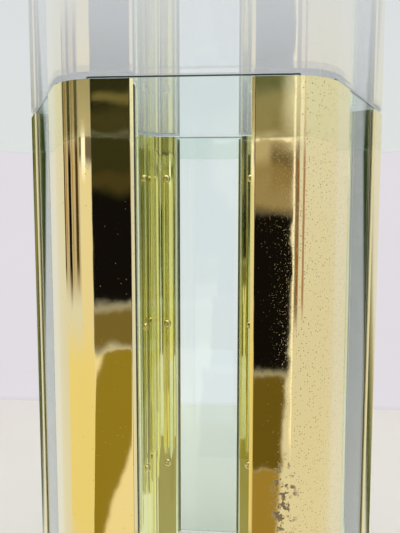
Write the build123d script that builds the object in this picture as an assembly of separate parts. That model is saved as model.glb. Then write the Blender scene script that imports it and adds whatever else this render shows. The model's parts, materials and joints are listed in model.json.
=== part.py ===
from build123d import *
import math
import os

# Hexagonal brass-and-glass pedestal table with a round glass top.
# Millimetres, +Z up, origin on the floor at the centre of the pedestal.
# The hexagon's front face looks along -Y, so its corners lie at 0, 60, ... 300 degrees.

# ---- hexagon and heights
SIDE = 236.0                 # side of the outer hexagon, corner to corner before bending
BRASS_BOTTOM = 8.0           # brass starts this far above the floor
BRASS_TOP = 745.0            # upper edge of skins and covers
PLATE_BOTTOM = 10.0          # underside of each corner's foot plate
PLATE_T = 3.0                # foot plate thickness
CORE_DROP = 2.0              # the wooden cores stop this far below the brass

# ---- outer skin of a corner column, one bent sheet
SKIN_T = 1.2                 # sheet thickness
BEND_R = 50.0                # outside radius of the 60 degree bend
WING = 37.2                  # flat left beside the bend
LIP_W = 4.0                  # the edge of each wing is creased inward over this width
LIP_DROP = 0.8               # and ends this far behind the outer plane

# ---- glass panes
PANE_T = 6.0
PANE_W = 187.0
PANE_SETBACK = 2.4           # from the outer brass plane to the pane's outer face
PANE_PROUD = 2.8             # the pane stands this far above the brass
SEAT_T = 3.0                 # rubber under each end of a pane
SEAT_LENGTH = 30.0

# ---- inner cover of a corner column, one bent sheet
COVER_T = 1.0
COVER_DEPTH = 42.0           # its legs lie this far inside the outer brass plane
COVER_REACH = 63.0           # from the corner to the cover's side wall
COVER_FLANGE = 12.0          # lip that bears on the inside of the pane
COVER_BEND_R = 5.0
COVER_EDGE_R = 2.5

# ---- round-head screws that hold the covers
SCREW_HEAD_R = 6.5
SCREW_HEAD_H = 4.4
SCREW_SHANK_R = 2.2
SCREW_LENGTH = 28.0
SCREW_REACH = 46.5           # from the corner, measured along the face
SCREW_ROWS_DOWN = (71.0, 322.0, 574.0)
RECESS_W = 1.4
RECESS_DEPTH = 1.8
RECESS_TURN = 17.0           # each cross recess stops at another angle

# ---- pads, feet and top
POST_RADIUS = 208.0          # bumpers and glides stand this far from the centre
BUMPER_R = 12.0
BUMPER_T = 5.0
GLIDE_PAD_R = 15.0
GLIDE_PAD_T = 4.0
GLIDE_BASE_R = 13.0
GLIDE_BASE_T = 4.0
GLIDE_HEX = 13.0             # across the flats
STEM_R = 4.0
STEM_TOP = 34.0
BOSS_R = 8.0
BOSS_H = 12.0
STEM_CLEARANCE = 0.05
TOP_R = 635.0
TOP_T = 12.0
TOP_EDGE_R = 3.0

GAP = 0.3                    # free space between neighbours that aren't fastened
TOUCH = 0.2                  # between the resting top and its bumpers

BEND_TANGENT = BEND_R * math.tan(math.radians(30))
WING_END = BEND_TANGENT + WING
APOTHEM = SIDE * math.cos(math.radians(30))
PANE_END = (SIDE - PANE_W) / 2
PANE_BACK = PANE_SETBACK + PANE_T
PANE_BOTTOM = PLATE_BOTTOM + PLATE_T + SEAT_T
CORE_BOTTOM = PLATE_BOTTOM + PLATE_T
CORE_TOP = BRASS_TOP - CORE_DROP
TOP_BOTTOM = CORE_TOP + BUMPER_T + TOUCH

CORNERS = ("front_left", "front_right", "right", "back_right", "back_left", "left")
FACES = ("front", "front_right", "back_right", "back", "back_left", "front_left")
FIRST_CORNER_ANGLE = 240.0
FIRST_FACE_ANGLE = 270.0


# ---- a corner's plan, drawn at 0 degrees: the corner lies at (SIDE, 0)
def at(along, inward, side):
    """Plan point 'along' one face from the corner and 'inward' of its outer brass plane."""
    x = SIDE - along * math.cos(math.radians(60)) - inward * math.cos(math.radians(30))
    y = along * math.sin(math.radians(60)) - inward * math.sin(math.radians(30))
    return (x, side * y)


def mitre(inward):
    """Plan point where the two faces' planes meet, 'inward' of the outer planes."""
    return (SIDE - inward / math.cos(math.radians(30)), 0.0)


def rounded(face, point, radius):
    """The face with the corner nearest to 'point' rounded."""
    corner = face.vertices().sort_by_distance(Vector(*point, 0))[0]
    return fillet(corner, radius)


def chevron(reach, outer, inner):
    """V-shaped band along both faces, out to 'reach', between two depths."""
    points = [at(reach, outer, -1), mitre(outer), at(reach, outer, 1)]
    points += [at(reach, inner, 1), mitre(inner), at(reach, inner, -1)]
    return make_face(Polyline(*points, close=True))


def wedge(reach, outer):
    """The plan inside both faces' planes at depth 'outer', closed straight across."""
    points = [at(reach, outer, -1), mitre(outer), at(reach, outer, 1)]
    points += [at(reach, COVER_DEPTH, 1), at(reach, COVER_DEPTH, -1)]
    return make_face(Polyline(*points, close=True))


def lip(side):
    """Plan of the creased edge of a wing."""
    start = WING_END - LIP_W
    points = [at(start, 0, side), at(WING_END, LIP_DROP, side)]
    points += [at(WING_END, LIP_DROP + SKIN_T, side), at(start, SKIN_T, side)]
    return make_face(Polyline(*points, close=True))


def column_skin():
    """Outer skin: two flat wings joined by a wide bend, with creased edges."""
    outside = rounded(wedge(WING_END - LIP_W, 0), mitre(0), BEND_R)
    inside = rounded(wedge(WING_END + WING, SKIN_T), mitre(SKIN_T), BEND_R - SKIN_T)
    plan = outside - inside + lip(1) + lip(-1)
    return Pos(0, 0, BRASS_BOTTOM) * extrude(plan, BRASS_TOP - BRASS_BOTTOM)


def inner_cover():
    """Inner cover: a V of two legs with side walls and lips, drilled for its screws."""
    front = PANE_BACK + GAP
    solid = chevron(COVER_REACH, front, COVER_DEPTH)
    solid = rounded(solid, mitre(COVER_DEPTH), COVER_BEND_R)
    hollow = chevron(COVER_REACH - COVER_T, front + COVER_T, COVER_DEPTH - COVER_T)
    hollow = rounded(hollow, mitre(COVER_DEPTH - COVER_T), COVER_BEND_R + COVER_T)
    for side in (1, -1):
        solid = rounded(solid, at(COVER_REACH, COVER_DEPTH, side), COVER_EDGE_R)
        edge = at(COVER_REACH - COVER_T, COVER_DEPTH - COVER_T, side)
        hollow = rounded(hollow, edge, COVER_EDGE_R - COVER_T)
    mouth = chevron(COVER_REACH - COVER_FLANGE, front - 1, front + COVER_T + 1)
    plan = solid - hollow - mouth
    cover = Pos(0, 0, CORE_BOTTOM) * extrude(plan, BRASS_TOP - CORE_BOTTOM)
    return cover - screw_holes(SCREW_SHANK_R + GAP)


def core_plan():
    """Plan of the wooden core: behind the skin's bend, between the panes, in the cover."""
    back = COVER_DEPTH - COVER_T - GAP
    inside_skin = rounded(wedge(WING_END, SKIN_T + GAP), mitre(SKIN_T + GAP), BEND_R - SKIN_T - GAP)
    neck = chevron(COVER_REACH - COVER_FLANGE - GAP, PANE_BACK + GAP, back)
    body = chevron(COVER_REACH - COVER_T - GAP, PANE_BACK + COVER_T + 2 * GAP, back)
    for side in (1, -1):
        edge = at(COVER_REACH - COVER_T - GAP, back, side)
        body = rounded(body, edge, COVER_EDGE_R - COVER_T)
    nose = chevron(PANE_END - GAP, 0, back)
    return (nose + neck + body) & inside_skin


def core_post():
    """Wooden core of a column, bored for the cover screws and for the glide below."""
    core = Pos(0, 0, CORE_BOTTOM) * extrude(core_plan(), CORE_TOP - CORE_BOTTOM)
    core -= screw_holes(SCREW_SHANK_R + GAP / 3)
    bore_depth = BOSS_H + 1
    well_depth = STEM_TOP - CORE_BOTTOM + 4
    place = Pos(POST_RADIUS, 0, CORE_BOTTOM)
    bottom = (Align.CENTER, Align.CENTER, Align.MIN)
    core -= place * Cylinder(BOSS_R + GAP, bore_depth, align=bottom)
    core -= place * Cylinder(STEM_R + 1, well_depth, align=bottom)
    for spot in plate_screw_spots():
        core -= Pos(*spot, CORE_BOTTOM) * Cylinder(PLATE_SCREW_R + GAP / 3, PLATE_SCREW_L, align=bottom)
    return core


# ---- cover screws
def screw_planes():
    """One plane per cover screw, on the cover's leg and facing into the pedestal."""
    planes = []
    for down in SCREW_ROWS_DOWN:
        for side in (1, -1):
            x, y = at(SCREW_REACH, COVER_DEPTH, side)
            inward = (-math.cos(math.radians(30)), -side * math.sin(math.radians(30)), 0)
            planes.append(Plane(origin=(x, y, BRASS_TOP - down), x_dir=(0, 0, 1), z_dir=inward))
    return planes


def screw_holes(radius):
    """Cylinders to be cut for the cover screws."""
    reach = SCREW_LENGTH + 2
    hole = Pos(0, 0, 1 - reach / 2) * Cylinder(radius, reach)
    return Compound(children=[plane * hole for plane in screw_planes()])


def cross_recess(size, width, depth):
    """Cross-shaped cutter whose mouth is at z = 0."""
    bar = Box(size, width, 2 * depth)
    return bar + Rot(0, 0, 90) * bar


def cover_screw(turn):
    """Round-head wood screw standing on z = 0, with its shank below."""
    bottom = (Align.CENTER, Align.CENTER, Align.MIN)
    head = Cylinder(SCREW_HEAD_R, SCREW_HEAD_H, align=bottom)
    head = fillet(head.edges().group_by(Axis.Z)[-1], SCREW_HEAD_H * 0.85)
    top = (Align.CENTER, Align.CENTER, Align.MAX)
    shank = Cylinder(SCREW_SHANK_R, SCREW_LENGTH, align=top)
    tip = chamfer(shank.edges().group_by(Axis.Z)[0], SCREW_SHANK_R * 0.9)
    recess = Pos(0, 0, SCREW_HEAD_H) * Rot(0, 0, turn)
    return head + tip - recess * cross_recess(SCREW_HEAD_R, RECESS_W, RECESS_DEPTH)


def cover_screws(corner_index):
    """The six screws of one column, each with its recess at another angle."""
    made = []
    for index, plane in enumerate(screw_planes()):
        turn = RECESS_TURN * (index + 1) * (corner_index + 2)
        made.append(plane * Pos(0, 0, GAP / 3) * cover_screw(turn))
    return Compound(children=made)


# ---- foot plate, its screws and the levelling glide
PLATE_SCREW_R = 2.0
PLATE_SCREW_L = 22.0
PLATE_SCREW_HEAD_R = 4.2
PLATE_SCREW_ALONG = 42.0
PLATE_SCREW_INWARD = 24.0


def plate_screw_spots():
    """Plan points of the two screws that hold a foot plate."""
    return [at(PLATE_SCREW_ALONG, PLATE_SCREW_INWARD, side) for side in (1, -1)]


def foot_plate():
    """Steel plate under a column, with a threaded boss; the panes stand on its ends."""
    reach = COVER_REACH - COVER_T - GAP
    plan = chevron(reach, SKIN_T + GAP, COVER_DEPTH)
    plan = rounded(plan, mitre(SKIN_T + GAP), BEND_R - SKIN_T - GAP)
    plate = Pos(0, 0, PLATE_BOTTOM) * extrude(plan, PLATE_T)
    bottom = (Align.CENTER, Align.CENTER, Align.MIN)
    place = Pos(POST_RADIUS, 0, PLATE_BOTTOM)
    plate += place * Cylinder(BOSS_R, PLATE_T + BOSS_H, align=bottom)
    plate -= place * Cylinder(STEM_R + STEM_CLEARANCE, PLATE_T + BOSS_H, align=bottom)
    for spot in plate_screw_spots():
        plate -= Pos(*spot, PLATE_BOTTOM) * countersunk(GAP / 2)
    return plate


def countersunk(extra):
    """Countersunk wood screw pointing up from z = 0, enlarged by 'extra' for its hole."""
    bottom = (Align.CENTER, Align.CENTER, Align.MIN)
    depth = PLATE_SCREW_HEAD_R - PLATE_SCREW_R
    head = Cone(PLATE_SCREW_HEAD_R + extra, PLATE_SCREW_R + extra, depth, align=bottom)
    return head + Cylinder(PLATE_SCREW_R + extra, PLATE_SCREW_L, align=bottom)


def foot_plate_screws():
    """Two countersunk screws under each column, all in one group."""
    cutter = cross_recess(PLATE_SCREW_HEAD_R, RECESS_W * 0.6, RECESS_DEPTH * 0.6)
    made = []
    for index in range(len(CORNERS)):
        for spot in plate_screw_spots():
            screw = countersunk(0) - Rot(0, 0, RECESS_TURN * index) * cutter
            made.append(corner_turn(index) * Pos(*spot, PLATE_BOTTOM) * screw)
    return Compound(children=made)


def levelling_glide():
    """Steel glide: base, hexagon for a spanner and threaded stem."""
    bottom = (Align.CENTER, Align.CENTER, Align.MIN)
    base_z = GLIDE_PAD_T - 1
    hex_z = base_z + GLIDE_BASE_T
    base = Cylinder(GLIDE_BASE_R, GLIDE_BASE_T, align=bottom)
    base = fillet(base.edges().group_by(Axis.Z)[-1], 2)
    hexagon = extrude(RegularPolygon(GLIDE_HEX / 2, 6, major_radius=False), PLATE_BOTTOM - GAP - hex_z)
    stem = Cylinder(STEM_R, STEM_TOP - hex_z, align=bottom)
    stem = chamfer(stem.edges().group_by(Axis.Z)[-1], 1)
    return Pos(POST_RADIUS, 0, 0) * (Pos(0, 0, base_z) * base + Pos(0, 0, hex_z) * (hexagon + stem))


def glide_pad():
    """Nylon sole that the glide's base is pressed into."""
    bottom = (Align.CENTER, Align.CENTER, Align.MIN)
    pad = Cylinder(GLIDE_PAD_R, GLIDE_PAD_T, align=bottom)
    pad = fillet(pad.edges().group_by(Axis.Z)[0], 1)
    pad -= Pos(0, 0, GLIDE_PAD_T - 1) * Cylinder(GLIDE_BASE_R, 2, align=bottom)
    return Pos(POST_RADIUS, 0, 0) * pad


def top_bumper():
    """Clear pad on a core's end grain, which carries the glass top."""
    pad = Cylinder(BUMPER_R, BUMPER_T, align=(Align.CENTER, Align.CENTER, Align.MIN))
    pad = fillet(pad.edges().group_by(Axis.Z)[-1], 1)
    return Pos(POST_RADIUS, 0, CORE_TOP) * pad


# ---- glass, drawn with its outer face looking along +X
def glass_pane():
    """Flat pane with ground arrises, held between skins and covers."""
    height = BRASS_TOP + PANE_PROUD - PANE_BOTTOM
    sheet = Box(PANE_T, PANE_W, height, align=(Align.MAX, Align.CENTER, Align.MIN))
    sheet = chamfer(sheet.edges(), 0.5)
    return Pos(APOTHEM - PANE_SETBACK, 0, PANE_BOTTOM) * sheet


def pane_seats():
    """Rubber blocks under both ends of every pane, all in one group."""
    block = Box(PANE_T, SEAT_LENGTH, SEAT_T, align=(Align.MAX, Align.CENTER, Align.MIN))
    reach = SIDE / 2 - PANE_END - GAP - SEAT_LENGTH / 2
    made = []
    for index in range(len(FACES)):
        for side in (1, -1):
            spot = Pos(APOTHEM - PANE_SETBACK, side * reach, CORE_BOTTOM)
            made.append(face_turn(index) * spot * block)
    return Compound(children=made)


def glass_top():
    """Round plate glass top with a softened, polished edge."""
    disc = Cylinder(TOP_R, TOP_T, align=(Align.CENTER, Align.CENTER, Align.MIN))
    disc = fillet(disc.edges(), TOP_EDGE_R)
    return Pos(0, 0, TOP_BOTTOM) * disc


# ---- assembly
def corner_turn(index):
    """Turns a piece drawn at 0 degrees to its corner."""
    return Rot(0, 0, FIRST_CORNER_ANGLE + 60 * index)


def face_turn(index):
    """Turns a piece drawn looking along +X to its face."""
    return Rot(0, 0, FIRST_FACE_ANGLE + 60 * index)


def write(shape, name):
    """One STEP file per node."""
    export_step(shape, os.path.join("parts", name + ".step"))


def main():
    os.makedirs("parts", exist_ok=True)
    per_corner = {
        "column_skin": column_skin(),
        "core_post": core_post(),
        "inner_cover": inner_cover(),
        "foot_plate": foot_plate(),
        "levelling_glide": levelling_glide(),
        "glide_pad": glide_pad(),
        "top_bumper": top_bumper(),
    }
    for index, corner in enumerate(CORNERS):
        for name, shape in per_corner.items():
            write(corner_turn(index) * shape, name + "_" + corner)
        write(corner_turn(index) * cover_screws(index), "cover_screws_" + corner)
    pane = glass_pane()
    for index, face in enumerate(FACES):
        write(face_turn(index) * pane, "glass_pane_" + face)
    write(pane_seats(), "pane_seats")
    write(foot_plate_screws(), "foot_plate_screws")
    write(glass_top(), "glass_top")


main()
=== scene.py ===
"""Looks of a hexagonal brass-and-glass pedestal table with a round glass top."""

import json
import logging
import math
from collections.abc import Iterable
from dataclasses import dataclass
from enum import Enum

import bmesh
import bpy
from mathutils import Matrix, Vector


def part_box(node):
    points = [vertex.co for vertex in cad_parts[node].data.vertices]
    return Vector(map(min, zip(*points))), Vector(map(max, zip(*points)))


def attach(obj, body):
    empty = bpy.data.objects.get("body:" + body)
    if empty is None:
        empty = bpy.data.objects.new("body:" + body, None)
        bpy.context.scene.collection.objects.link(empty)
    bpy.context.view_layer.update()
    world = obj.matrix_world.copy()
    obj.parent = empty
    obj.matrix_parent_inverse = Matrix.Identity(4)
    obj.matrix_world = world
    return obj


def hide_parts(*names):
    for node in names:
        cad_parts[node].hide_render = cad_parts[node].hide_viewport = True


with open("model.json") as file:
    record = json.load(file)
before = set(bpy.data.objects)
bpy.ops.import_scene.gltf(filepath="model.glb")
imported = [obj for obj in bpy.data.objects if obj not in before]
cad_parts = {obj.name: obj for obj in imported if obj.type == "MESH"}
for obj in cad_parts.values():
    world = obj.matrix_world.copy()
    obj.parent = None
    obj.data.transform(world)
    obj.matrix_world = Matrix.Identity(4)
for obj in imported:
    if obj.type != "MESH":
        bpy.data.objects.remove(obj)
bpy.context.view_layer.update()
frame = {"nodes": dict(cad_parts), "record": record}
LOG = logging.getLogger("table")

Colour = tuple[float, float, float]
Triple = tuple[float, float, float]
Number = float | int

# A hexagon turns by 60 degrees at a corner, so each face stands half of that off the corner's line.
HALF_CORNER = math.radians(30.0)


class Corner(Enum):
    """The six corners of the pedestal, by the angle at which each stands."""

    FRONT_LEFT = 240.0
    FRONT_RIGHT = 300.0
    RIGHT = 0.0
    BACK_RIGHT = 60.0
    BACK_LEFT = 120.0
    LEFT = 180.0

    def node(self, piece: str) -> str:
        """Name of this corner's node of one kind."""
        return f"{piece}_{self.name.lower()}"

    def turn(self) -> Matrix:
        """Rotation from the +X axis to this corner."""
        return Matrix.Rotation(math.radians(self.value), 4, "Z")


class Face(Enum):
    """The six glazed sides of the pedestal, by the angle that each looks along."""

    FRONT = 270.0
    FRONT_RIGHT = 330.0
    BACK_RIGHT = 30.0
    BACK = 90.0
    BACK_LEFT = 150.0
    FRONT_LEFT = 210.0

    def node(self) -> str:
        """Name of this side's pane."""
        return f"glass_pane_{self.name.lower()}"

    def turn(self) -> Matrix:
        """Rotation from the +X axis to this side."""
        return Matrix.Rotation(math.radians(self.value), 4, "Z")


# ---- shader expressions


class Wire:
    """A number on its way through a shader; Python's operators add Math nodes."""

    def __init__(self, tree: bpy.types.NodeTree, socket: bpy.types.NodeSocket) -> None:
        """Args:
            tree: The tree that new nodes go into.
            socket: The output that holds the number.
        """
        self.tree = tree
        self.socket = socket

    def _math(self, operation: str, *values: "Wire | Number") -> "Wire":
        """Args:
            operation: The Math node's operation.
            values: Its inputs in order.

        Returns:
            The result.
        """
        node = self.tree.nodes.new("ShaderNodeMath")
        node.operation = operation
        for slot, value in zip(node.inputs, values):
            if isinstance(value, Wire):
                self.tree.links.new(value.socket, slot)
            else:
                slot.default_value = value
        return Wire(self.tree, node.outputs[0])

    def __add__(self, other: "Wire | Number") -> "Wire":
        """Sum."""
        return self._math("ADD", self, other)

    __radd__ = __add__

    def __sub__(self, other: "Wire | Number") -> "Wire":
        """Difference."""
        return self._math("SUBTRACT", self, other)

    def __rsub__(self, other: "Wire | Number") -> "Wire":
        """Reflected difference."""
        return self._math("SUBTRACT", other, self)

    def __mul__(self, other: "Wire | Number") -> "Wire":
        """Product."""
        return self._math("MULTIPLY", self, other)

    __rmul__ = __mul__

    def __pow__(self, other: "Wire | Number") -> "Wire":
        """Power."""
        return self._math("POWER", self, other)

    def above(self, level: "Wire | Number") -> "Wire":
        """1 where the number is above the level, else 0."""
        return self._math("GREATER_THAN", self, level)

    def clamped(self) -> "Wire":
        """The number held between 0 and 1."""
        return self._math("MAXIMUM", self._math("MINIMUM", self, 1.0), 0.0)

    def angle(self, other: "Wire") -> "Wire":
        """Angle of the point (other, self) about the origin, in radians."""
        return self._math("ARCTAN2", self, other)

    def ramp(self, low: float, high: float) -> "Wire":
        """Smooth step from 0 at low to 1 at high; high may be the smaller."""
        node = self.tree.nodes.new("ShaderNodeMapRange")
        node.interpolation_type = "SMOOTHSTEP"
        rising = low < high
        self.tree.links.new(self.socket, node.inputs["Value"])
        node.inputs["From Min"].default_value = low if rising else high
        node.inputs["From Max"].default_value = high if rising else low
        node.inputs["To Min"].default_value = 0.0 if rising else 1.0
        node.inputs["To Max"].default_value = 1.0 if rising else 0.0
        return Wire(self.tree, node.outputs["Result"])

    def band(self, low: float, high: float, soft: float) -> "Wire":
        """1 between low and high, falling to 0 over a soft edge."""
        return self.ramp(low - soft, low + soft) * self.ramp(high + soft, high - soft)


class Paint:
    """One material's node tree, with its Principled node ready to feed."""

    def __init__(self, name: str) -> None:
        """Args:
            name: Name of the material.
        """
        self.material = bpy.data.materials.new(name)
        self.material.use_nodes = True
        self.tree = self.material.node_tree
        self.tree.nodes.clear()
        self.output = self.tree.nodes.new("ShaderNodeOutputMaterial")
        self.body = self.tree.nodes.new("ShaderNodeBsdfPrincipled")
        self.tree.links.new(self.body.outputs[0], self.output.inputs["Surface"])

    def node(self, kind: str, settings: dict | None = None, **inputs: object) -> bpy.types.Node:
        """Adds one node.

        Args:
            kind: The node's type.
            settings: Properties set before its sockets.
            inputs: Values or links, by socket name with spaces as underscores.

        Returns:
            The node.
        """
        made = self.tree.nodes.new(kind)
        for key, value in (settings or {}).items():
            setattr(made, key, value)
        for key, value in inputs.items():
            self.feed(made.inputs[key.replace("_", " ")], value)
        return made

    def feed(self, socket: bpy.types.NodeSocket, value: object) -> None:
        """Sets a socket to a value or links it.

        Args:
            socket: The input.
            value: A number, a colour, an output socket or a Wire.
        """
        if isinstance(value, Wire):
            self.tree.links.new(value.socket, socket)
        elif isinstance(value, bpy.types.NodeSocket):
            self.tree.links.new(value, socket)
        elif isinstance(value, tuple) and len(value) == 3 and socket.type == "RGBA":
            socket.default_value = (*value, 1.0)
        else:
            socket.default_value = value

    def place(self, stretch: Triple = (1.0, 1.0, 1.0)) -> bpy.types.NodeSocket:
        """Object coordinates, stretched.

        Args:
            stretch: Scale along each axis.

        Returns:
            The mapped coordinates.
        """
        source = self.node("ShaderNodeTexCoord").outputs["Object"]
        return self.node("ShaderNodeMapping", Vector=source, Scale=stretch).outputs[0]

    def axes(self) -> tuple[Wire, Wire, Wire]:
        """The object's own x, y and z."""
        split = self.node("ShaderNodeSeparateXYZ", Vector=self.place())
        return tuple(Wire(self.tree, out) for out in split.outputs)

    def noise(self, scale: float, detail: float = 2.0, stretch: Triple = (1.0, 1.0, 1.0),
              roughness: float = 0.5, distortion: float = 0.0) -> Wire:
        """Noise between 0 and 1.

        Args:
            scale: Waves per metre.
            detail: Octaves.
            stretch: Scale along each axis.
            roughness: Weight of the finer octaves.
            distortion: Swirl.

        Returns:
            The noise.
        """
        made = self.node("ShaderNodeTexNoise", Vector=self.place(stretch), Scale=scale,
                         Detail=detail, Roughness=roughness, Distortion=distortion)
        return Wire(self.tree, made.outputs[0])

    def specks(self, scale: float, size: float, share: float) -> Wire:
        """Round specks, one in some of the cells.

        Args:
            scale: Cells per metre.
            size: Radius as a share of a cell.
            share: Share of the cells that have one.

        Returns:
            1 in a speck, 0 outside.
        """
        cell = self.node("ShaderNodeTexVoronoi", {"feature": "F1"}, Vector=self.place(), Scale=scale)
        lot = self.node("ShaderNodeSeparateColor", Color=cell.outputs["Color"]).outputs[0]
        round_speck = Wire(self.tree, cell.outputs["Distance"]).ramp(size, size * 0.5)
        return round_speck * Wire(self.tree, lot).above(1 - share)

    def mix(self, share: Wire | Number, low: object, high: object) -> bpy.types.NodeSocket:
        """Colour between two others.

        Args:
            share: 0 for the first colour, 1 for the second.
            low: First colour.
            high: Second colour.

        Returns:
            The mixed colour.
        """
        made = self.node("ShaderNodeMix", {"data_type": "RGBA"})
        self.feed(made.inputs[0], share)
        self.feed(made.inputs[6], low)
        self.feed(made.inputs[7], high)
        return made.outputs[2]

    def blend(self, share: Wire | bpy.types.NodeSocket, low: bpy.types.Node,
              high: bpy.types.Node) -> bpy.types.Material:
        """Makes the surface a mix of two shaders.

        Args:
            share: 0 for the first shader, 1 for the second.
            low: First shader.
            high: Second shader.

        Returns:
            The material.
        """
        both = self.node("ShaderNodeMixShader")
        self.feed(both.inputs[0], share)
        self.feed(both.inputs[1], low.outputs[0])
        self.feed(both.inputs[2], high.outputs[0])
        self.feed(self.output.inputs["Surface"], both.outputs[0])
        return self.material

    def relief(self, *layers: tuple[Wire, float]) -> bpy.types.NodeSocket:
        """Bump from several layers, one on top of the other.

        Args:
            layers: Height between 0 and 1, with its depth in metres.

        Returns:
            The bent normal.
        """
        normal = None
        for height, depth in layers:
            bump = self.node("ShaderNodeBump", Strength=1.0, Distance=depth, Height=height)
            if normal is not None:
                self.feed(bump.inputs["Normal"], normal)
            normal = bump.outputs[0]
        return normal

    def principled(self, **inputs: object) -> bpy.types.Material:
        """Feeds the Principled node.

        Args:
            inputs: Values or links, by socket name with spaces as underscores.

        Returns:
            The material.
        """
        for key, value in inputs.items():
            self.feed(self.body.inputs[key.replace("_", " ")], value)
        return self.material


# ---- finishes


@dataclass(frozen=True)
class PolishedBrass:
    """Brass sheet, polished or as milled, with some haze and the dark pits of age."""

    name: str
    light: Colour = (0.95, 0.82, 0.49)
    deep: Colour = (0.91, 0.74, 0.37)
    roughness: float = 0.035
    pitting: float = 0.5
    streaks: float = 0.0
    stain_at: Triple | None = None
    dense_beyond: float | None = None
    dense_blur: float = 0.012

    def material(self) -> bpy.types.Material:
        """Returns: the brass, with pits, hairlines, haze and gentle waves."""
        paint = Paint(self.name)
        tone = paint.noise(3.0, 3.0, (1.0, 1.0, 0.35)).ramp(0.35, 0.7)
        field = paint.noise(8.0, 3.0).ramp(0.60 - 0.3 * self.pitting, 0.72)
        fine = paint.specks(760.0, 0.30, 0.08 + 0.25 * self.pitting) * field
        coarse = paint.specks(420.0, 0.20, 0.02 + 0.16 * self.pitting ** 2)
        pits = (fine + coarse).clamped()
        if self.dense_beyond is not None:
            x, _, _ = paint.axes()
            beyond = x.ramp(self.dense_beyond - self.dense_blur, self.dense_beyond)
            pits = (pits * (beyond * 0.55 + 0.45) + paint.specks(460.0, 0.30, 0.42) * beyond).clamped()
        haze = paint.noise(14.0, 4.0, (1.0, 1.0, 0.4)).ramp(0.45, 0.9)
        hairline = paint.noise(900.0, 1.0, (1.0, 1.0, 0.02)).ramp(0.70, 0.78)
        colour = paint.mix(tone, self.light, self.deep)
        colour = paint.mix(pits * 0.8, colour, (0.20, 0.14, 0.07))
        rough = self.roughness + haze * 0.05 + hairline * 0.05 + pits * 0.3
        if self.stain_at is not None:
            stain = self._stain(paint)
            colour = paint.mix(stain * 0.85, colour, (0.30, 0.22, 0.19))
            rough = rough + stain * 0.4
        wave = paint.noise(7.0, 1.0, (1.0, 1.0, 0.3))
        grain = paint.noise(260.0, 2.0)
        layers = [(wave, 0.0004), (grain, 0.000004), (1.0 - pits, 0.00003)]
        if self.streaks:
            layers.append((paint.noise(62.0, 1.5, (1.0, 1.0, 0.004)), self.streaks))
        normal = paint.relief(*layers)
        return paint.principled(Base_Color=colour, Metallic=1.0, Roughness=rough.clamped(), Normal=normal)

    def _stain(self, paint: Paint) -> Wire:
        """Corrosion blotches round one spot.

        Args:
            paint: The tree to add to.

        Returns:
            1 where the brass is eaten, 0 elsewhere.
        """
        x, y, z = paint.axes()
        ax, ay, az = self.stain_at
        away = ((x - ax) ** 2.0 + (y - ay) ** 2.0) * 9.0 + (z - az) ** 2.0
        near = away.ramp(0.0022, 0.0004)
        return near * paint.noise(150.0, 3.0, roughness=0.7).ramp(0.52, 0.60)


@dataclass(frozen=True)
class ClearGlass:
    """Float glass with a faint green cast; lamps shine through it."""

    name: str
    tint: Colour = (0.925, 1.0, 0.975)
    roughness: float = 0.0

    def material(self) -> bpy.types.Material:
        """Returns: the glass, with faint smears."""
        paint = Paint(self.name)
        smear = paint.noise(5.0, 3.0, (1.0, 1.0, 0.5)).ramp(0.55, 0.95)
        paint.principled(Base_Color=paint.mix(smear, self.tint, tuple(c * 0.985 for c in self.tint)),
                         Roughness=self.roughness + smear * 0.012, IOR=1.5, Transmission_Weight=1.0)
        lamps = paint.node("ShaderNodeLightPath").outputs["Is Shadow Ray"]
        clear = paint.node("ShaderNodeBsdfTransparent", Color=self.tint)
        return paint.blend(lamps, paint.body, clear)


@dataclass(frozen=True)
class GroundEdge:
    """Cut and ground edge of a pane, dark green by the depth of glass behind it."""

    name: str = "ground_edge"
    colour: Colour = (0.012, 0.045, 0.034)

    def material(self) -> bpy.types.Material:
        """Returns: the edge, with its grinding marks."""
        paint = Paint(self.name)
        marks = paint.noise(500.0, 2.0, (1.0, 1.0, 0.2))
        colour = paint.mix(marks * 0.5, self.colour, tuple(c * 2.2 for c in self.colour))
        return paint.principled(Base_Color=colour, Roughness=0.3 + marks * 0.2, IOR=1.5,
                                Transmission_Weight=0.35, Normal=paint.relief((marks, 0.00003)))


@dataclass(frozen=True)
class PlanedWood:
    """Planed hardwood, darkened nearly to black as painted shade for the inside of the column, with its grain
    upright.
    """

    name: str = "black_wood"

    def material(self) -> bpy.types.Material:
        """Returns: the wood."""
        paint = Paint(self.name)
        grain = paint.noise(90.0, 4.0, (1.0, 1.0, 0.04), 0.6, 0.6)
        pores = paint.noise(700.0, 1.0, (1.0, 1.0, 0.03)).ramp(0.6, 0.7)
        # The near-black colour is painted shade for the inside of the column.
        colour = paint.mix(grain, (0.018, 0.020, 0.016), (0.05, 0.05, 0.038))
        colour = paint.mix(pores * 0.4, colour, (0.008, 0.008, 0.007))
        return paint.principled(Base_Color=colour, Roughness=0.55 + grain * 0.2,
                                Normal=paint.relief((grain, 0.0002), (1.0 - pores, 0.0001)))


@dataclass(frozen=True)
class ZincSteel:
    """Steel with a dull zinc plating and small spangles."""

    name: str = "zinc_steel"

    def material(self) -> bpy.types.Material:
        """Returns: the plated steel."""
        paint = Paint(self.name)
        spangle = paint.noise(160.0, 2.0)
        wear = paint.noise(45.0, 4.0).ramp(0.55, 0.75)
        colour = paint.mix(spangle, (0.52, 0.54, 0.56), (0.68, 0.69, 0.70))
        colour = paint.mix(wear * 0.5, colour, (0.36, 0.33, 0.29))
        return paint.principled(Base_Color=colour, Metallic=1.0, Roughness=0.28 + spangle * 0.15 + wear * 0.2,
                                Normal=paint.relief((spangle, 0.00002)))


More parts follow.
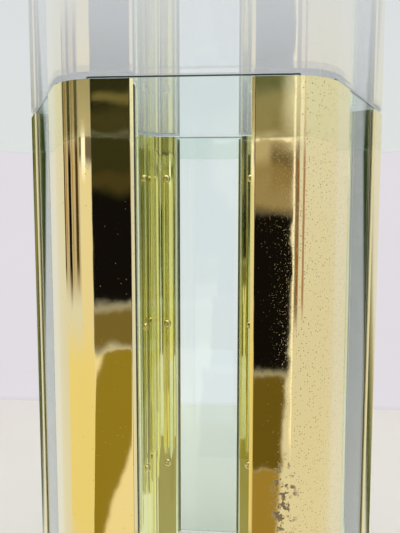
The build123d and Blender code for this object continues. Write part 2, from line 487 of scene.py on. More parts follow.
@dataclass(frozen=True)
class MouldedPlastic:
    """Moulded nylon, or cut rubber, with a fine grain."""

    name: str
    colour: Colour
    roughness: float = 0.5

    def material(self) -> bpy.types.Material:
        """Returns: the plastic."""
        paint = Paint(self.name)
        grain = paint.noise(1200.0, 2.0)
        dust = paint.noise(60.0, 3.0).ramp(0.55, 0.8)
        colour = paint.mix(dust * 0.35, self.colour, (0.30, 0.29, 0.27))
        return paint.principled(Base_Color=colour, Roughness=self.roughness + dust * 0.2 + grain * 0.1,
                                Normal=paint.relief((grain, 0.00005)))


@dataclass(frozen=True)
class ClearSilicone:
    """Cloudy clear silicone."""

    name: str = "clear_silicone"

    def material(self) -> bpy.types.Material:
        """Returns: the silicone."""
        paint = Paint(self.name)
        cloud = paint.noise(120.0, 2.0)
        return paint.principled(Base_Color=paint.mix(cloud, (0.90, 0.92, 0.91), (0.80, 0.82, 0.80)),
                                Roughness=0.18 + cloud * 0.12, IOR=1.41, Transmission_Weight=0.85)


# ---- making and dressing meshes


def finish_piece(bm: bmesh.types.BMesh, name: str, materials: Iterable[bpy.types.Material],
                 sharp: float = 30.0) -> bpy.types.Object:
    """Turns a bmesh into a finished piece at the origin.

    Args:
        bm: The mesh, in metres where it belongs; it is freed.
        name: Name of the piece.
        materials: Its material slots in order.
        sharp: Edges turning by more degrees than this stay sharp.

    Returns:
        The object.
    """
    bmesh.ops.recalc_face_normals(bm, faces=bm.faces)
    mesh = bpy.data.meshes.new(name)
    bm.to_mesh(mesh)
    bm.free()
    for material in materials:
        mesh.materials.append(material)
    mesh.shade_smooth()
    mesh.set_sharp_from_angle(angle=math.radians(sharp))
    piece = bpy.data.objects.new(name, mesh)
    bpy.context.scene.collection.objects.link(piece)
    return piece


def stand_for(piece: bpy.types.Object, node: str) -> None:
    """Puts a piece in a CAD node's place, on that node's body.

    Args:
        piece: The finished piece.
        node: The node that it replaces.
    """
    body = next(name for name, nodes in frame["record"]["behaviour"]["bodies"].items() if node in nodes)
    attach(piece, body)
    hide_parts(node)
    LOG.info("%s stands for %s on %s", piece.name, node, body)


def dress(node: str, material: bpy.types.Material) -> None:
    """Gives a carried-over CAD node its finish.

    Args:
        node: Name of the node.
        material: Its material.
    """
    piece = frame["nodes"][node]
    for slot in piece.material_slots:
        slot.material = material
    LOG.info("%s keeps its shape", node)


class BentSheet:
    """A strip of sheet laid along straight runs and bends, standing upright."""

    def __init__(self, start: Vector, heading: float, bottom: float, top: float) -> None:
        """Args:
            start: Plan point of the first edge.
            heading: Direction of the first run, in degrees.
            bottom: Lower edge.
            top: Upper edge.
        """
        self.bm = bmesh.new()
        self.point = Vector((start.x, start.y, 0.0))
        self.heading = math.radians(heading)
        self.right = self._ahead(1.0, -math.pi / 2)
        self.start = self.point.copy()
        ends = [self.bm.verts.new((start.x, start.y, z)) for z in (bottom, top)]
        self.edge = self.bm.edges.new(ends)

    def run(self, length: float, guard: float = 0.0) -> "BentSheet":
        """Lays a straight run.

        Args:
            length: Its length.
            guard: Width of a narrow face at each end, which keeps the flat's shading flat.

        Returns:
            The sheet.
        """
        for part in (guard, length - 2 * guard, guard):
            if part <= 0:
                continue
            step = self._ahead(part)
            made = bmesh.ops.extrude_edge_only(self.bm, edges=[self.edge])["geom"]
            moved = [g for g in made if isinstance(g, bmesh.types.BMVert)]
            bmesh.ops.translate(self.bm, vec=step, verts=moved)
            self.edge = self._leading(made, self.point + step)
            self.point += step
        return self

    def bend(self, radius: float, degrees: float, steps: int) -> "BentSheet":
        """Bends the strip; positive turns to the left.

        Args:
            radius: Radius at the traced face.
            degrees: Angle of the bend.
            steps: Faces round the bend.

        Returns:
            The sheet.
        """
        turn = math.radians(degrees)
        hand = math.copysign(math.pi / 2, turn)
        centre = self.point + self._ahead(radius, hand)
        made = bmesh.ops.spin(self.bm, geom=[self.edge, *self.edge.verts], cent=centre, axis=(0.0, 0.0, 1.0),
                              angle=turn, steps=steps)["geom_last"]
        self.point = centre + Matrix.Rotation(turn, 3, "Z") @ (self.point - centre)
        self.heading += turn
        self.edge = self._leading(made, self.point)
        return self

    def _ahead(self, length: float, turn: float = 0.0) -> Vector:
        """Step of a length along the heading, turned by an angle in radians."""
        angle = self.heading + turn
        return Vector((math.cos(angle), math.sin(angle), 0.0)) * length

    def _leading(self, made: list, point: Vector) -> bmesh.types.BMEdge:
        """The upright edge over a plan point, out of what an operator made."""
        edges = [g for g in made if isinstance(g, bmesh.types.BMEdge)]
        spot = point.to_2d()
        return min(edges, key=lambda e: sum((v.co.to_2d() - spot).length for v in e.verts))

    def thickened(self, thickness: float) -> bmesh.types.BMesh:
        """Gives the strip its thickness, to the right of the direction it was laid.

        Args:
            thickness: Sheet thickness.

        Returns:
            The closed mesh.
        """
        bmesh.ops.remove_doubles(self.bm, verts=self.bm.verts, dist=1e-6)
        bmesh.ops.recalc_face_normals(self.bm, faces=self.bm.faces)
        origin = self.start.to_2d()
        first = min(self.bm.faces, key=lambda f: (f.calc_center_median().to_2d() - origin).length)
        if first.normal.dot(self.right) > 0:
            bmesh.ops.reverse_faces(self.bm, faces=self.bm.faces)
        bmesh.ops.solidify(self.bm, geom=self.bm.faces[:], thickness=thickness)
        return self.bm


# ---- the pedestal


@dataclass(frozen=True)
class CornerPlan:
    """Plan of one corner, drawn with the corner of the hexagon on the +X axis."""

    side: float = 0.236
    top: float = 0.745

    def at(self, along: float, inward: float, hand: int) -> Vector:
        """Plan point beside the corner.

        Args:
            along: Distance from the corner along the outer plane.
            inward: Depth behind that plane.
            hand: 1 or -1 for the face on either side.

        Returns:
            The point.
        """
        x = self.side - along * math.sin(HALF_CORNER) - inward * math.cos(HALF_CORNER)
        y = along * math.cos(HALF_CORNER) - inward * math.sin(HALF_CORNER)
        return Vector((x, hand * y, 0.0))

    def leg_plane(self, along: float, inward: float, hand: int, z: float) -> Matrix:
        """Frame on a plane parallel to a face.

        Args:
            along: Distance from the corner along the outer plane.
            inward: Depth behind that plane.
            hand: 1 or -1 for the face on either side.
            z: Height.

        Returns:
            The frame, its Z looking into the pedestal.
        """
        turn = Matrix.Rotation(HALF_CORNER * hand + math.pi, 4, "Z") @ Matrix.Rotation(math.pi / 2, 4, "Y")
        point = self.at(along, inward, hand)
        return Matrix.Translation((point.x, point.y, z)) @ turn


@dataclass(frozen=True)
class ColumnSkin:
    """Outer skin of a column: two wings with creased edges and a wide bend."""

    plan: CornerPlan
    finish: bpy.types.Material
    inside: bpy.types.Material
    thickness: float = 0.0012
    bend_radius: float = 0.050
    wing: float = 0.0372
    lip: float = 0.0026
    lip_drop: float = 0.0011
    crease_radius: float = 0.0008
    # Share of the crease's radius that its bend takes off the wing.
    crease_share: float = 0.2
    lip_guard: float = 0.0003
    wing_guard: float = 0.001
    bottom: float = 0.008

    def build(self, corner: Corner) -> bpy.types.Object:
        """Bends one skin and puts it at its corner.

        Args:
            corner: Where it stands.

        Returns:
            The piece.
        """
        end = self.bend_radius * math.tan(HALF_CORNER) + self.wing
        slope = math.degrees(math.atan2(self.lip_drop, self.lip))
        tilt = self.thickness * math.sin(math.radians(slope))
        lip = math.hypot(self.lip, self.lip_drop)
        wing = self.wing - self.lip - self.crease_radius * self.crease_share - tilt
        start = self.plan.at(end - tilt, self.thickness + self.lip_drop, -1)
        sheet = BentSheet(start, 60.0 - slope, self.bottom, self.plan.top)
        sheet.run(lip, self.lip_guard).bend(self.crease_radius, slope, 2).run(wing, self.wing_guard)
        sheet.bend(self.bend_radius - self.thickness, 60.0, 40)
        sheet.run(wing, self.wing_guard).bend(self.crease_radius, slope, 2).run(lip, self.lip_guard)
        bm = sheet.thickened(self.thickness)
        bm.normal_update()
        for side in bm.faces:
            side.material_index = int(side.normal.x < -0.3)
        bmesh.ops.transform(bm, matrix=corner.turn(), verts=bm.verts)
        piece = finish_piece(bm, corner.node("skin"), [self.finish, self.inside], sharp=40.0)
        stand_for(piece, corner.node("column_skin"))
        return piece


@dataclass(frozen=True)
class InnerCover:
    """Inner cover of a column: a V of two legs, and side walls whose lips take a second finish: painted
    shading for the gap beside the pane.
    """

    plan: CornerPlan
    finish: bpy.types.Material
    painted_lip_shading: bpy.types.Material
    thickness: float = 0.001
    depth: float = 0.042
    reach: float = 0.063
    front: float = 0.0087
    lip: float = 0.012
    painted_lip_depth: float = 0.0195
    edge_radius: float = 0.0025
    bend_radius: float = 0.005
    guard: float = 0.0005
    bottom: float = 0.013

    def build(self, corner: Corner) -> bpy.types.Object:
        """Bends one cover and puts it at its corner.

        Args:
            corner: Where it stands.

        Returns:
            The piece.
        """
        mitre = self.depth * math.tan(HALF_CORNER)
        leg = self.reach - self.edge_radius - mitre - self.bend_radius * math.tan(HALF_CORNER)
        lip = self.lip - self.edge_radius
        painted_lip_run = self.painted_lip_depth - self.edge_radius
        wall = self.depth - self.front - 2 * self.edge_radius - painted_lip_run
        start = self.plan.at(self.reach - self.lip, self.front, -1)
        sheet = BentSheet(start, 240.0, self.bottom, self.plan.top)
        sheet.run(lip).bend(self.edge_radius, -90.0, 8).run(painted_lip_run).run(wall, self.guard)
        sheet.bend(self.edge_radius, -90.0, 8).run(leg, self.guard)
        sheet.bend(self.bend_radius, 60.0, 12).run(leg, self.guard)
        sheet.bend(self.edge_radius, -90.0, 8).run(wall, self.guard).run(painted_lip_run)
        sheet.bend(self.edge_radius, -90.0, 8).run(lip)
        bm = sheet.thickened(self.thickness)
        for side in bm.faces:
            spot = side.calc_center_median()
            outward = spot.x * math.cos(HALF_CORNER) + abs(spot.y) * math.sin(HALF_CORNER)
            inward = self.plan.side * math.cos(HALF_CORNER) - outward
            # Faces near the lip take the second finish, the painted shading of the gap beside the pane.
            side.material_index = int(inward < self.front + self.painted_lip_depth)
        bmesh.ops.transform(bm, matrix=corner.turn(), verts=bm.verts)
        piece = finish_piece(bm, corner.node("cover"), [self.finish, self.painted_lip_shading], sharp=40.0)
        stand_for(piece, corner.node("inner_cover"))
        return piece


@dataclass(frozen=True)
class RoundHeadScrew:
    """The round-head screws of one cover, with cross recesses."""

    plan: CornerPlan
    finish: bpy.types.Material
    head_radius: float = 0.0065
    head_height: float = 0.0044
    shank_radius: float = 0.0022
    length: float = 0.028
    rows_down: tuple[float, ...] = (0.071, 0.322, 0.574)
    along: float = 0.0465
    depth: float = 0.0421
    recess_width: float = 0.0014
    recess_depth: float = 0.0018
    second_bar: float = 0.9995
    turn: float = 17.0

    def blank(self) -> bpy.types.Mesh:
        """Turns one screw with the underside of its head on z = 0, and cuts its recess.

        Returns:
            The screw's mesh.
        """
        bm = bmesh.new()
        arc = [(math.sin(a) * self.head_radius, math.cos(a) ** 0.7 * self.head_height)
               for a in (math.radians(d) for d in range(0, 90, 9))]
        outline = arc + [(self.head_radius, 0.0), (self.shank_radius, 0.0),
                         (self.shank_radius, -self.length * 0.85), (0.0, -self.length)]
        verts = [bm.verts.new((r, 0.0, z)) for r, z in outline]
        edges = [bm.edges.new(pair) for pair in zip(verts, verts[1:])]
        bmesh.ops.spin(bm, geom=verts + edges, cent=(0, 0, 0), axis=(0, 0, 1), angle=math.tau, steps=28,
                       use_merge=True)
        bmesh.ops.remove_doubles(bm, verts=bm.verts, dist=1e-6)
        bmesh.ops.recalc_face_normals(bm, faces=bm.faces)
        return self._cut(bm)

    def _cut(self, bm: bmesh.types.BMesh) -> bpy.types.Mesh:
        """Cuts the cross recess with two crossed bars.

        Args:
            bm: The turned screw; it is freed.

        Returns:
            The mesh of the screw with its recess.
        """
        whole, cutter = bpy.data.meshes.new("blank"), bpy.data.meshes.new("cross")
        bm.to_mesh(whole)
        bm.free()
        cross = bmesh.new()
        for quarter in (0.0, math.pi / 2):
            size = Matrix.Diagonal((self.head_radius * 1.05, self.recess_width, 2 * self.recess_depth, 1.0))
            shift = Matrix.Translation((0.0, 0.0, self.head_height)) @ Matrix.Rotation(quarter, 4, "Z")
            # The second bar is a hair smaller, so that no two faces of the cutter coincide.
            scale = self.second_bar if quarter else 1.0
            bmesh.ops.create_cube(cross, size=1.0, matrix=shift @ size @ Matrix.Scale(scale, 4))
        cross.to_mesh(cutter)
        cross.free()
        body, tool = (bpy.data.objects.new(m.name, m) for m in (whole, cutter))
        for thing in (body, tool):
            bpy.context.scene.collection.objects.link(thing)
        cut = body.modifiers.new("recess", "BOOLEAN")
        cut.operation, cut.object, cut.solver, cut.use_self = "DIFFERENCE", tool, "EXACT", True
        shape = body.evaluated_get(bpy.context.evaluated_depsgraph_get()).to_mesh()
        made = bmesh.new()
        made.from_mesh(shape)
        screw = bpy.data.meshes.new("screw")
        made.to_mesh(screw)
        made.free()
        for thing, mesh in ((body, whole), (tool, cutter)):
            bpy.data.objects.remove(thing)
            bpy.data.meshes.remove(mesh)
        return screw

    def build(self, corner: Corner, index: int, blank: bpy.types.Mesh) -> bpy.types.Object:
        """Puts one column's screws in their places.

        Args:
            corner: Their column.
            index: Number of the corner, which sets where the recesses stop.
            blank: One screw's mesh.

        Returns:
            The piece.
        """
        bm = bmesh.new()
        turns = iter(range(1, 2 * len(self.rows_down) + 1))
        for down in self.rows_down:
            for hand in (1, -1):
                before = len(bm.verts)
                bm.from_mesh(blank)
                bm.verts.ensure_lookup_table()
                spin = Matrix.Rotation(math.radians(self.turn * next(turns) * (index + 2)), 4, "Z")
                seat = self.plan.leg_plane(self.along, self.depth, hand, self.plan.top - down)
                bmesh.ops.transform(bm, matrix=corner.turn() @ seat @ spin, verts=bm.verts[before:])
        piece = finish_piece(bm, corner.node("screws"), [self.finish], sharp=35.0)
        stand_for(piece, corner.node("cover_screws"))
        return piece


@dataclass(frozen=True)
class GlassPane:
    """Flat upright pane with ground arrises and greener edges."""

    plan: CornerPlan
    face_glass: bpy.types.Material
    edge_glass: bpy.types.Material
    thickness: float = 0.006
    width: float = 0.187
    setback: float = 0.0024
    arris: float = 0.0006

    def build(self, face: Face) -> bpy.types.Object:
        """Cuts one pane to its node's size.

        Args:
            face: The side that it glazes.

        Returns:
            The piece.
        """
        low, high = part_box(face.node())
        outer = self.plan.side * math.cos(HALF_CORNER) - self.setback
        place = Matrix.Translation((outer - self.thickness / 2, 0.0, (low.z + high.z) / 2))
        size = Matrix.Diagonal((self.thickness, self.width, high.z - low.z, 1.0))
        bm = bmesh.new()
        bmesh.ops.create_cube(bm, size=1.0, matrix=place @ size)
        for flat in bm.faces:
            flat.material_index = 0 if abs(flat.normal.x) > 0.5 else 1
        bmesh.ops.bevel(bm, geom=bm.edges[:], offset=self.arris, affect="EDGES", segments=2, profile=0.5,
                        material=1)
        bm.normal_update()
        # The lower edge has the clear glass too.
        for flat in bm.faces:
            if flat.normal.z < -0.3:
                flat.material_index = 0
        bmesh.ops.transform(bm, matrix=face.turn(), verts=bm.verts)
        piece = finish_piece(bm, f"pane_{face.name.lower()}", [self.face_glass, self.edge_glass],
                             sharp=20.0)
        stand_for(piece, face.node())
        return piece


@dataclass(frozen=True)
class GlassTop:
    """Round top with a rounded, polished edge."""

    face_glass: bpy.types.Material
    edge_glass: bpy.types.Material
    radius: float = 0.635
    segments: int = 288
    edge: float = 0.0052
    cap_guard: float = 0.0005

    def build(self) -> bpy.types.Object:
        """Returns: the top."""
        low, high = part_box("glass_top")
        middle = Matrix.Translation((0.0, 0.0, (low.z + high.z) / 2))
        bm = bmesh.new()
        bmesh.ops.create_cone(bm, cap_ends=True, segments=self.segments, radius1=self.radius,
                              radius2=self.radius, depth=high.z - low.z, matrix=middle)
        for flat in bm.faces:
            flat.material_index = 0 if abs(flat.normal.z) > 0.5 else 1
        rim = [e for e in bm.edges if abs(e.verts[0].co.z - e.verts[1].co.z) < 1e-6]
        bmesh.ops.bevel(bm, geom=rim, offset=self.edge, affect="EDGES", segments=6, profile=0.5, material=1)
        caps = [f for f in bm.faces if len(f.verts) > 4]
        bmesh.ops.inset_region(bm, faces=caps, thickness=self.cap_guard)
        piece = finish_piece(bm, "round_top", [self.face_glass, self.edge_glass], sharp=25.0)
        stand_for(piece, "glass_top")
        return piece


@dataclass(frozen=True)
class TopBumper:
    """Clear pad with a rolled rim and a shallow dish."""

    finish: bpy.types.Material
    post_radius: float = 0.208
    radius: float = 0.012
    height: float = 0.005
    bottom: float = 0.743

    def build(self, corner: Corner) -> bpy.types.Object:
        """Turns one bumper.

        Args:
            corner: The column that carries it.

        Returns:
            The piece.
        """
        r, h = self.radius, self.height
        outline = [(0.0, 0.0), (r * 0.96, 0.0), (r, h * 0.08), (r, h * 0.75), (r * 0.97, h * 0.92),
                   (r * 0.9, h), (r * 0.78, h), (r * 0.7, h * 0.93), (r * 0.55, h * 0.88), (0.0, h * 0.86)]
        bm = bmesh.new()
        verts = [bm.verts.new((x, 0.0, z)) for x, z in outline]
        edges = [bm.edges.new(pair) for pair in zip(verts, verts[1:])]
        bmesh.ops.spin(bm, geom=verts + edges, cent=(0, 0, 0), axis=(0, 0, 1), angle=math.tau, steps=40,
                       use_merge=True)
        bmesh.ops.remove_doubles(bm, verts=bm.verts, dist=1e-6)
        place = corner.turn() @ Matrix.Translation((self.post_radius, 0.0, self.bottom))
        bmesh.ops.transform(bm, matrix=place, verts=bm.verts)
        piece = finish_piece(bm, corner.node("bumper"), [self.finish], sharp=50.0)
        stand_for(piece, corner.node("top_bumper"))
        return piece


# ---- the studio


@dataclass(frozen=True)
class PaintedReflection:
    """A painted reflection: a coloured patch on the glowing ring round the table, in degrees and metres."""

    start: float
    stop: float
    low: float
    high: float
    colour: Colour
    side_blur: float = 1.0
    end_blur: float = 0.02
    lean: float = 0.0
    strength: float = 1.0
    drift: float = 1.0


# Colours of the painted reflections.
OLIVE = (0.045, 0.045, 0.016)
COPPER = (0.33, 0.13, 0.03)
UMBER = (0.07, 0.042, 0.01)
BLACK = (0.006, 0.005, 0.005)
CREAM = (0.85, 0.78, 0.55)
WHITE = (1.25, 1.22, 1.15)
SAND = (0.50, 0.42, 0.26)
OCHRE = (0.19, 0.146, 0.042)
FOREST = (0.045, 0.072, 0.012)
STRAW = (0.30, 0.27, 0.09)
HONEY = (0.92, 0.84, 0.56)
AMBER = (0.46, 0.26, 0.08)

# Each patch below is a painted reflection that the ring glows with, for the brass and glass to mirror.
# A later flag covers the ones before it. They are set for the view of the studio's own camera.
PAINTED_REFLECTIONS = (
    PaintedReflection(-128, -52, -1.40, -0.24, (0.34, 0.30, 0.10), 1.0, 0.04),
    PaintedReflection(-110, -90, -0.22, 0.28, HONEY, 0.6, 0.004),
    PaintedReflection(-168, -131, 0.42, 0.80, SAND, 1.2, 0.05, strength=0.8),
    PaintedReflection(-168, -164.5, 0.45, 0.80, UMBER, 0.6, 0.04),
    PaintedReflection(-163, -160, 0.52, 0.80, AMBER, 0.8, 0.05),
    PaintedReflection(-155.5, -149, 0.42, 0.78, BLACK, 0.8, 0.06),
    PaintedReflection(-146.5, -144.5, 0.48, 0.80, AMBER, 0.5, 0.05),
    PaintedReflection(-139.5, -134, 0.46, 0.79, UMBER, 0.8, 0.05),
    PaintedReflection(-130, -110, -0.22, 0.71, CREAM, 0.8, 0.02),
    PaintedReflection(-165, -110, -0.22, 0.30, (0.88, 0.78, 0.38), 2.0, 0.08),
    PaintedReflection(-103.7, -95.06, -0.60, 0.278, (0.30, 0.228, 0.027), 0.4, 0.003, lean=20.0),
    PaintedReflection(-131, -109, 0.72, 0.90, UMBER, 0.8, 0.02, strength=0.85),
    PaintedReflection(-127, -120, 0.70, 0.86, WHITE, 1.0, 0.03),
    PaintedReflection(-110, -90, 0.60, 0.80, (0.037, 0.037, 0.013), 0.8, 0.02),
    PaintedReflection(-110, -96, 0.66, 0.70, (0.08, 0.06, 0.02), 0.8, 0.012, strength=0.6),
    PaintedReflection(-90, -77.6, 0.70, 0.79, (0.49, 0.44, 0.30), 0.8, 0.02),
    PaintedReflection(-81, -77.6, 0.66, 0.76, UMBER, 0.6, 0.03, strength=0.8),
    PaintedReflection(-90, -77.6, 0.60, 0.72, (0.29, 0.22, 0.10), 0.8, 0.02, strength=0.9),
    PaintedReflection(-110, -88, 0.39, 0.655, BLACK, 0.8, 0.02),
    PaintedReflection(-90, -77.65, 0.225, 0.615, BLACK, 0.3, 0.02, lean=1.2),
    PaintedReflection(-110, -90, 0.285, 0.385, OCHRE, 0.8, 0.02),
    PaintedReflection(-91, -77.6, -0.02, 0.22, (0.148, 0.11, 0.017), 0.4, 0.01, lean=3.0),
    PaintedReflection(-91, -77.6, -0.22, -0.02, (0.36, 0.26, 0.06), 0.4, 0.004, lean=3.0),
    PaintedReflection(-77.5, -76.4, 0.05, 0.79, WHITE, 0.25, 0.06, strength=0.9),
    PaintedReflection(-75.5, -69.5, 0.36, 0.77, UMBER, 0.8, 0.05, strength=0.8),
    PaintedReflection(-73, -71, 0.38, 0.75, COPPER, 0.8, 0.04),
    PaintedReflection(-63.5, -60, 0.38, 0.76, COPPER, 0.6, 0.04, strength=0.8),
    PaintedReflection(-170, -131, 0.80, 1.60, (0.12, 0.12, 0.045), 2.0, 0.01, strength=0.95),
    PaintedReflection(-131, -92, 0.80, 1.60, OLIVE, 1.0, 0.006),
    PaintedReflection(-108.5, -100, 0.868, 0.893, (0.42, 0.35, 0.14), 0.6, 0.008, strength=0.75),
    PaintedReflection(-92, -79, 0.80, 1.60, (0.24, 0.26, 0.14), 1.0, 0.006),
    PaintedReflection(-90, -78, 0.775, 0.792, WHITE, 0.6, 0.004),
    PaintedReflection(-78, -60, 0.78, 1.60, WHITE, 2.0, 0.03, strength=0.8),
    PaintedReflection(136, 140.75, -0.60, 0.90, FOREST, 0.2, 0.02, lean=1.8, drift=0.0),
    PaintedReflection(139.0, 139.8, -0.60, 0.90, STRAW, 0.4, 0.02, lean=1.8, strength=0.8, drift=0.2),
    PaintedReflection(34.3, 35.15, -0.60, 0.90, FOREST, 0.2, 0.02, lean=-1.8, drift=0.0),
    PaintedReflection(35.05, 35.55, -0.60, 0.90, STRAW, 0.15, 0.02, lean=-1.8, strength=0.9, drift=0.0),
)


@dataclass(frozen=True)
class Studio:
    """Pale floor and backdrop, soft light, a glowing ring of painted reflections that only reflections show,
    and the camera.
    """

    wall: Colour = (0.77, 0.735, 0.775)
    floor: Colour = (0.88, 0.85, 0.78)
    backdrop_y: float = 0.743
    # Brightness of the painted pool of light on the backdrop.
    light_pool_gain: float = 1.18
    ring_radius: float = 0.86
    ring_bottom: float = -1.3
    ring_top: float = 1.5
    # Height at which a leaning flag stands at its own angle.
    lean_from: float = 0.45
    camera_at: Triple = (0.0297, -0.5961, 0.6400)
    camera_pitch: float = -4.20
    camera_yaw: float = 3.31

    def light(self) -> None:
        """Sets the soft all-round light and one softbox overhead."""
        world = bpy.data.worlds.new("studio")
        bpy.context.scene.world = world
        world.use_nodes = True
        world.node_tree.nodes["Background"].inputs["Color"].default_value = (*self.wall, 1.0)
        world.node_tree.nodes["Background"].inputs["Strength"].default_value = 1.0
        self._softbox("overhead", (0.0, -0.4, 2.9), 2.2, 18.0)

    def _softbox(self, name: str, at: Triple, size: float, power: float) -> None:
        """Adds a square light looking at the table's middle.

        Args:
            name: Its name.
            at: Where it hangs.
            size: Side.
            power: Watts.
        """
        lamp = bpy.data.lights.new(name, "AREA")
        lamp.size, lamp.energy = size, power
        holder = bpy.data.objects.new(name, lamp)
        holder.location = at
        holder.rotation_euler = (Vector((0.0, 0.0, 0.5)) - Vector(at)).to_track_quat("-Z", "Y").to_euler()
        bpy.context.scene.collection.objects.link(holder)

    def ground(self) -> None:
        """Lays the floor."""
        paint = Paint("studio_floor")
        cloud = paint.noise(2.5, 2.0)
        colour = paint.mix(cloud * 0.4, self.floor, tuple(c * 0.95 for c in self.floor))
        paint.principled(Base_Color=colour, Roughness=0.7)
        bm = bmesh.new()
        bmesh.ops.create_grid(bm, x_segments=1, y_segments=1, size=40.0)
        floor = finish_piece(bm, "studio_floor", [paint.material])
        floor.visible_glossy = False

    def backdrop(self) -> None:
        """Hangs the lit backdrop behind the table, with a painted pool of light in its middle, painted shade
        along its foot and faint painted shade of folds; it can't be seen from its back.
        """
        paint = Paint("backdrop")
        x, _, z = paint.axes()
        # Painted pool of light, brighter in the middle and low down.
        painted_light_pool = (x * x).ramp(0.10, 0.01) * z.ramp(0.95, 0.70)
        # Painted shade in the crease where the backdrop meets the floor.
        crease_shade = z.ramp(0.016, 0.002)
        # Faint painted shade of folds in the backdrop.
        fold_shade = paint.noise(3.0, 3.0, (0.3, 1.0, 2.5))
        colour = paint.mix(fold_shade, self.wall, tuple(c * 0.965 for c in self.wall))
        colour = paint.mix(painted_light_pool, colour, tuple(c * self.light_pool_gain for c in self.wall))
        colour = paint.mix(crease_shade * 0.12, colour, (0.40, 0.37, 0.34))
        glow = paint.node("ShaderNodeEmission", Color=colour, Strength=1.0)
        clear = paint.node("ShaderNodeBsdfTransparent")
        behind = paint.node("ShaderNodeNewGeometry").outputs["Backfacing"]
        paint.blend(behind, glow, clear)
        bm = bmesh.new()
        upright = Matrix.Translation((0.0, self.backdrop_y, 4.0)) @ Matrix.Rotation(math.pi / 2, 4, "X")
        bmesh.ops.create_grid(bm, x_segments=1, y_segments=1, size=4.0, matrix=upright)
        cloth = finish_piece(bm, "backdrop", [paint.material])
        if cloth.data.polygons[0].normal.y > 0:
            cloth.data.flip_normals()
        cloth.visible_glossy = False

    def surround(self) -> None:
        """Stands a glowing ring round the table whose coloured patches are painted reflections, seen only in
        its reflections.
        """
        paint = Paint("flags_round_the_table")
        x, y, z = paint.axes()
        drift = (paint.noise(14.0, 3.0) - 0.5) * 1.6
        turn = y.angle(x) * (180.0 / math.pi)
        height = z + (paint.noise(20.0, 4.0) - 0.5) * 0.05
        colour = paint.mix(z.ramp(-0.1, 0.3), (0.80, 0.82, 0.79), (0.77, 0.79, 0.77))
        for painted_patch in PAINTED_REFLECTIONS:
            angle = turn + drift * painted_patch.drift - (z - self.lean_from) * painted_patch.lean
            share = angle.band(painted_patch.start, painted_patch.stop, painted_patch.side_blur)
            share = share * height.band(painted_patch.low, painted_patch.high, painted_patch.end_blur)
            colour = paint.mix(share * painted_patch.strength, colour, painted_patch.colour)
        glow = paint.node("ShaderNodeEmission", Color=colour, Strength=1.0)
        clear = paint.node("ShaderNodeBsdfTransparent")
        path = Wire(paint.tree, paint.node("ShaderNodeLightPath").outputs["Glossy Depth"])
        paint.blend(path.above(0.5), clear, glow)
        bm = bmesh.new()
        verts = [bm.verts.new((self.ring_radius, 0.0, end)) for end in (self.ring_bottom, self.ring_top)]
        edge = bm.edges.new(verts)
        bmesh.ops.spin(bm, geom=[*verts, edge], cent=(0, 0, 0), axis=(0, 0, 1), angle=math.tau, steps=160,
                       use_merge=True)
        ring = finish_piece(bm, "flags_round_the_table", [paint.material])
        ring.visible_shadow = ring.visible_diffuse = False

    def camera(self) -> None:
        """Stands the camera just under the rim, close to the front pane."""
        data = bpy.data.cameras.new("camera")
        data.sensor_width = 36.0
        data.lens = 30.0
        data.shift_y = -0.0657
        data.clip_start, data.clip_end = 0.02, 100.0
        holder = bpy.data.objects.new("camera", data)
        holder.location = self.camera_at
        holder.rotation_euler = (math.radians(90.0 + self.camera_pitch), 0.0, math.radians(self.camera_yaw))
        bpy.context.scene.collection.objects.link(holder)
        bpy.context.scene.camera = holder


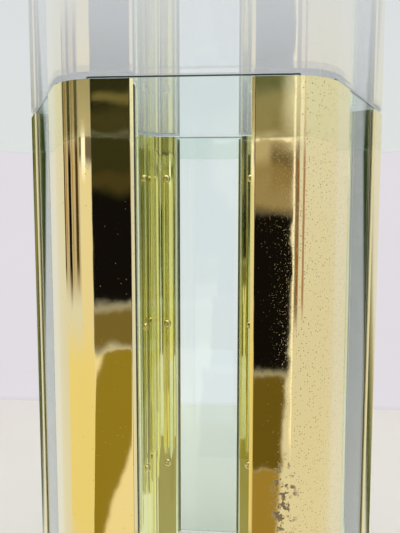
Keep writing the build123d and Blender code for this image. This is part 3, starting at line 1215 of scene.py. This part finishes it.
def build_columns(plan: CornerPlan) -> None:
    """Builds the skin, cover, screws and bumper of each column.

    Args:
        plan: Plan of a corner.
    """
    brass = PolishedBrass("skin_brass").material()
    stained = PolishedBrass("skin_brass_pitted", pitting=1.0, stain_at=(0.084, -0.2044, 0.366),
                            dense_beyond=0.098).material()
    unpolished = PolishedBrass("mill_brass", light=(0.93, 0.83, 0.55), deep=(0.88, 0.76, 0.46),
                               roughness=0.5, pitting=0.2).material()
    cover_brass = PolishedBrass("cover_brass", light=(1.0, 0.96, 0.57), deep=(0.84, 0.72, 0.20),
                                roughness=0.05, pitting=0.2, streaks=0.0042).material()
    screw_brass = PolishedBrass("screw_brass", light=(0.84, 0.70, 0.34), roughness=0.12).material()
    # Dark lips are painted shade of the gap between cover and pane at the front columns; pale lips at the
    # back columns are painted light for that gap.
    painted_lip_shading = MouldedPlastic("glazing_tape", (0.010, 0.016, 0.008), 0.45).material()
    painted_lip_light = MouldedPlastic("glazing_tape_bleached", (0.44, 0.46, 0.34), 0.5).material()
    silicone = ClearSilicone().material()
    screws = RoundHeadScrew(plan, screw_brass)
    blank = screws.blank()
    for index, corner in enumerate(Corner):
        pitted = corner is Corner.FRONT_RIGHT
        ColumnSkin(plan, stained if pitted else brass, unpolished).build(corner)
        at_back = corner in (Corner.BACK_LEFT, Corner.BACK_RIGHT)
        InnerCover(plan, cover_brass, painted_lip_light if at_back else painted_lip_shading).build(corner)
        screws.build(corner, index, blank)
        TopBumper(silicone).build(corner)


def build_glass(plan: CornerPlan) -> None:
    """Builds the six panes and the top.

    Args:
        plan: Plan of a corner.
    """
    clear = ClearGlass("pane_glass").material()
    edge = GroundEdge().material()
    rim = ClearGlass("polished_rim", tint=(0.62, 0.88, 0.82), roughness=0.03).material()
    for face in Face:
        GlassPane(plan, clear, edge).build(face)
    GlassTop(clear, rim).build()


def dress_cad_parts() -> None:
    """Gives the parts that keep their CAD shape their finishes."""
    zinc = ZincSteel().material()
    nylon = MouldedPlastic("moulded_nylon", (0.05, 0.05, 0.05)).material()
    rubber = MouldedPlastic("cut_rubber", (0.03, 0.03, 0.03), 0.7).material()
    wood = PlanedWood().material()
    for corner in Corner:
        dress(corner.node("core_post"), wood)
        dress(corner.node("foot_plate"), zinc)
        dress(corner.node("levelling_glide"), zinc)
        dress(corner.node("glide_pad"), nylon)
    dress("foot_plate_screws", zinc)
    dress("pane_seats", rubber)


def main() -> None:
    """Builds the table's pieces in order, then the studio."""
    logging.basicConfig(level=logging.INFO, format="%(message)s")
    bpy.context.scene.view_settings.view_transform = "Standard"
    plan = CornerPlan()
    build_columns(plan)
    build_glass(plan)
    dress_cad_parts()
    studio = Studio()
    studio.light()
    studio.ground()
    studio.backdrop()
    studio.surround()
    studio.camera()


if __name__ == "__main__":
    main()
